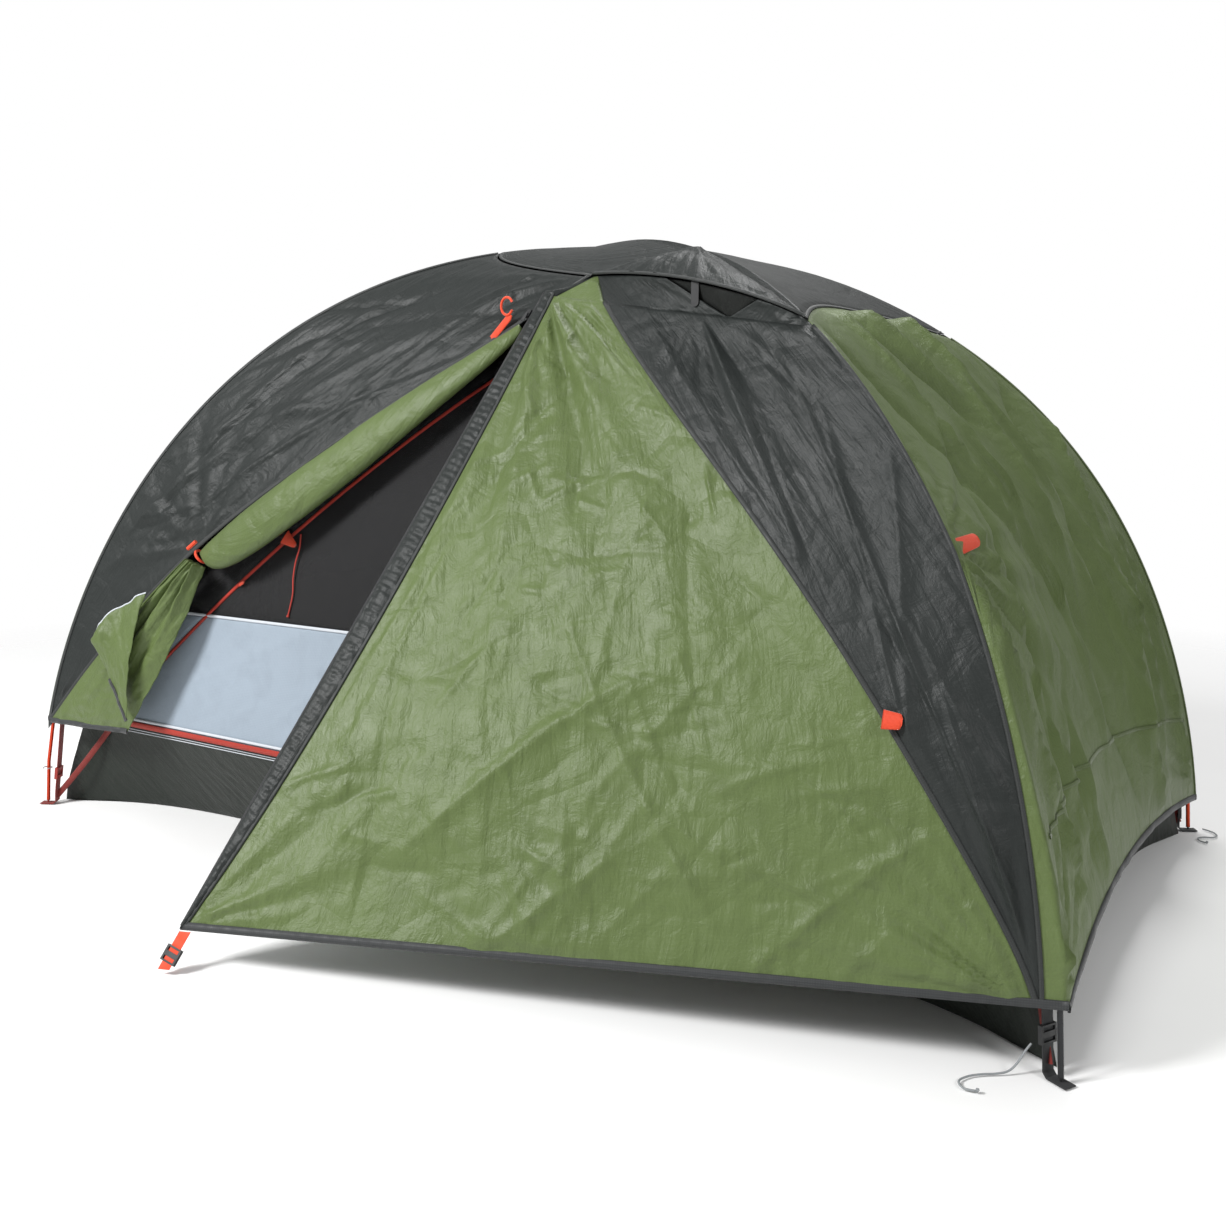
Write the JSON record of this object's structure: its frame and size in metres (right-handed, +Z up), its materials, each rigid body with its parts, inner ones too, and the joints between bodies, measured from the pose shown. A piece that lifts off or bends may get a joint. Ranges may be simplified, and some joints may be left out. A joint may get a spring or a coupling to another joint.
{
  "type": "dome tent",
  "caption": "Low dome tent pitched on two crossing arched poles, with a mesh inner tent, a bathtub floor, a roof vent and a front porch whose door is rolled to one side.",
  "frame": {"origin": "on the ground under the middle of the floor, on the flat underside of the inner tent's floor", "axes": "+X runs along the tent from its left end to its right end, -Y points out of the front door, +Z is up"},
  "size_m": [2.2486, 1.6393, 1.2],
  "materials": {
    "fly_green": "ripstop nylon, slight sheen",
    "fly_charcoal": "ripstop nylon, slight sheen",
    "inner_white": "pale ripstop nylon",
    "inner_mesh": "fine insect mesh",
    "floor_fabric": "coated nylon",
    "webbing_orange": "woven webbing",
    "webbing_dark_red": "woven webbing",
    "webbing_black": "woven webbing",
    "cord_grey": "braided cord",
    "cord_orange": "braided cord",
    "cord_black": "elastic cord",
    "pole_black": "anodised",
    "pole_orange": "anodised",
    "zip_orange": "satin",
    "plastic_black": "satin",
    "plastic_red": "satin",
    "zip_metal": "polished"
  },
  "bodies": {
    "tent": {"pole_1_section_1": "pole_orange", "pole_1_section_2": "pole_black", "pole_1_section_3": "pole_black", "pole_1_section_4": "pole_black", "pole_1_section_5": "pole_black", "pole_1_section_6": "pole_black", "pole_1_section_7": "pole_orange", "pole_1_shock_cord": "cord_black", "pole_2_section_1": "pole_black", "pole_2_section_2": "pole_black", "pole_2_section_3": "pole_black", "pole_2_section_4": "pole_black", "pole_2_section_5": "pole_black", "pole_2_section_6": "pole_black", "pole_2_section_7": "pole_black", "pole_2_shock_cord": "cord_black", "pole_tip_a": "plastic_red", "pole_tip_b": "plastic_black", "pole_tip_c": "plastic_black", "pole_tip_d": "plastic_black", "fly_roof_cap": "fly_charcoal", "fly_front_left": "fly_charcoal", "fly_vestibule": "fly_green", "fly_storm_flap": "fly_charcoal", "fly_front_right": "fly_charcoal", "fly_end_right": "fly_green", "fly_end_left": "fly_green", "fly_back": "fly_charcoal", "fly_vent_hood": "fly_charcoal", "inner_floor": "floor_fabric", "inner_tub": "floor_fabric", "inner_band": "inner_white", "inner_canopy": "inner_mesh", "inner_door": "inner_mesh", "inner_zip": "zip_orange", "fly_door_roll": "fly_green", "fly_door_drape": "fly_green", "door_tie": "webbing_orange", "guy_tab_upper": "webbing_orange", "guy_tab_lower": "webbing_orange", "inner_door_cord": "cord_orange", "corner_cord_b": "cord_grey", "corner_cord_c": "cord_grey", "corner_strap_a": "webbing_dark_red", "corner_strap_b": "webbing_black", "corner_strap_c": "webbing_black", "corner_strap_d": "webbing_black", "peg_strap": "webbing_orange"},
    "fly_zip_slider": {"fly_zip_slider": "plastic_black"},
    "fly_zip_pull": {"fly_zip_pull": "webbing_black"},
    "inner_zip_slider": {"inner_zip_slider": "zip_metal"},
    "inner_zip_pull": {"inner_zip_pull": "webbing_orange"},
    "vent_strut": {"vent_strut": "plastic_black"},
    "corner_buckle_a": {"corner_buckle_a": "plastic_red"},
    "corner_buckle_b": {"corner_buckle_b": "plastic_black"},
    "corner_buckle_c": {"corner_buckle_c": "plastic_black"},
    "corner_buckle_d": {"corner_buckle_d": "plastic_black"},
    "corner_ring_a": {"corner_ring_a": "zip_metal"},
    "peg_strap_buckle": {"peg_strap_buckle": "plastic_black"},
    "door_toggle": {"door_toggle": "zip_orange"}
  },
  "joints": [
    {"name": "fly_zip_slide", "type": "slide", "parent": "tent", "child": "fly_zip_slider", "axis": [-0.1621, -0.573, -0.8033], "range_m": [0, 1.19]},
    {"name": "fly_zip_pull_swing", "type": "hinge", "parent": "fly_zip_slider", "child": "fly_zip_pull", "pos_m": [0.03358, -0.29016, 1.0501], "axis": [-0.9867, 0.1068, 0.1228], "range_deg": [0, 120]},
    {"name": "inner_zip_slide", "type": "slide", "parent": "tent", "child": "inner_zip_slider", "axis": [1, 0, 0], "range_m": [-0.53, 1.24]},
    {"name": "inner_zip_pull_swing", "type": "hinge", "parent": "inner_zip_slider", "child": "inner_zip_pull", "pos_m": [-0.356, -0.5358, 0.202], "axis": [-1, 0, 0], "range_deg": [0, 100]},
    {"name": "vent_strut_fold", "type": "hinge", "parent": "tent", "child": "vent_strut", "pos_m": [0.38861, -0.30671, 1.04889], "axis": [0, 1, 0], "range_deg": [0, 75]},
    {"name": "corner_buckle_a_slide", "type": "slide", "parent": "tent", "child": "corner_buckle_a", "axis": [0.1213, 0.0662, 0.9904], "range_m": [-0.022, 0.085]},
    {"name": "corner_buckle_b_slide", "type": "slide", "parent": "tent", "child": "corner_buckle_b", "axis": [-0.0738, 0.0403, 0.9965], "range_m": [-0.01, 0.02]},
    {"name": "corner_buckle_c_slide", "type": "slide", "parent": "tent", "child": "corner_buckle_c", "axis": [-0.0644, -0.0351, 0.9973], "range_m": [0, 0.009]},
    {"name": "corner_buckle_d_slide", "type": "slide", "parent": "tent", "child": "corner_buckle_d", "axis": [0.0715, -0.039, 0.9967], "range_m": [-0.01, 0.02]},
    {"name": "corner_ring_slide", "type": "slide", "parent": "tent", "child": "corner_ring_a", "axis": [0.0909, 0.0496, 0.9946], "range_m": [-0.015, 0.03]},
    {"name": "peg_strap_buckle_slide", "type": "slide", "parent": "tent", "child": "peg_strap_buckle", "axis": [-0.1621, -0.573, -0.8033], "range_m": [-0.018, 0.008]},
    {"name": "door_toggle_turn", "type": "hinge", "parent": "tent", "child": "door_toggle", "pos_m": [-0.64913, -0.51824, 0.60187], "axis": [0.0304, -0.9648, 0.2612], "range_deg": [0, 90]}
  ]
}
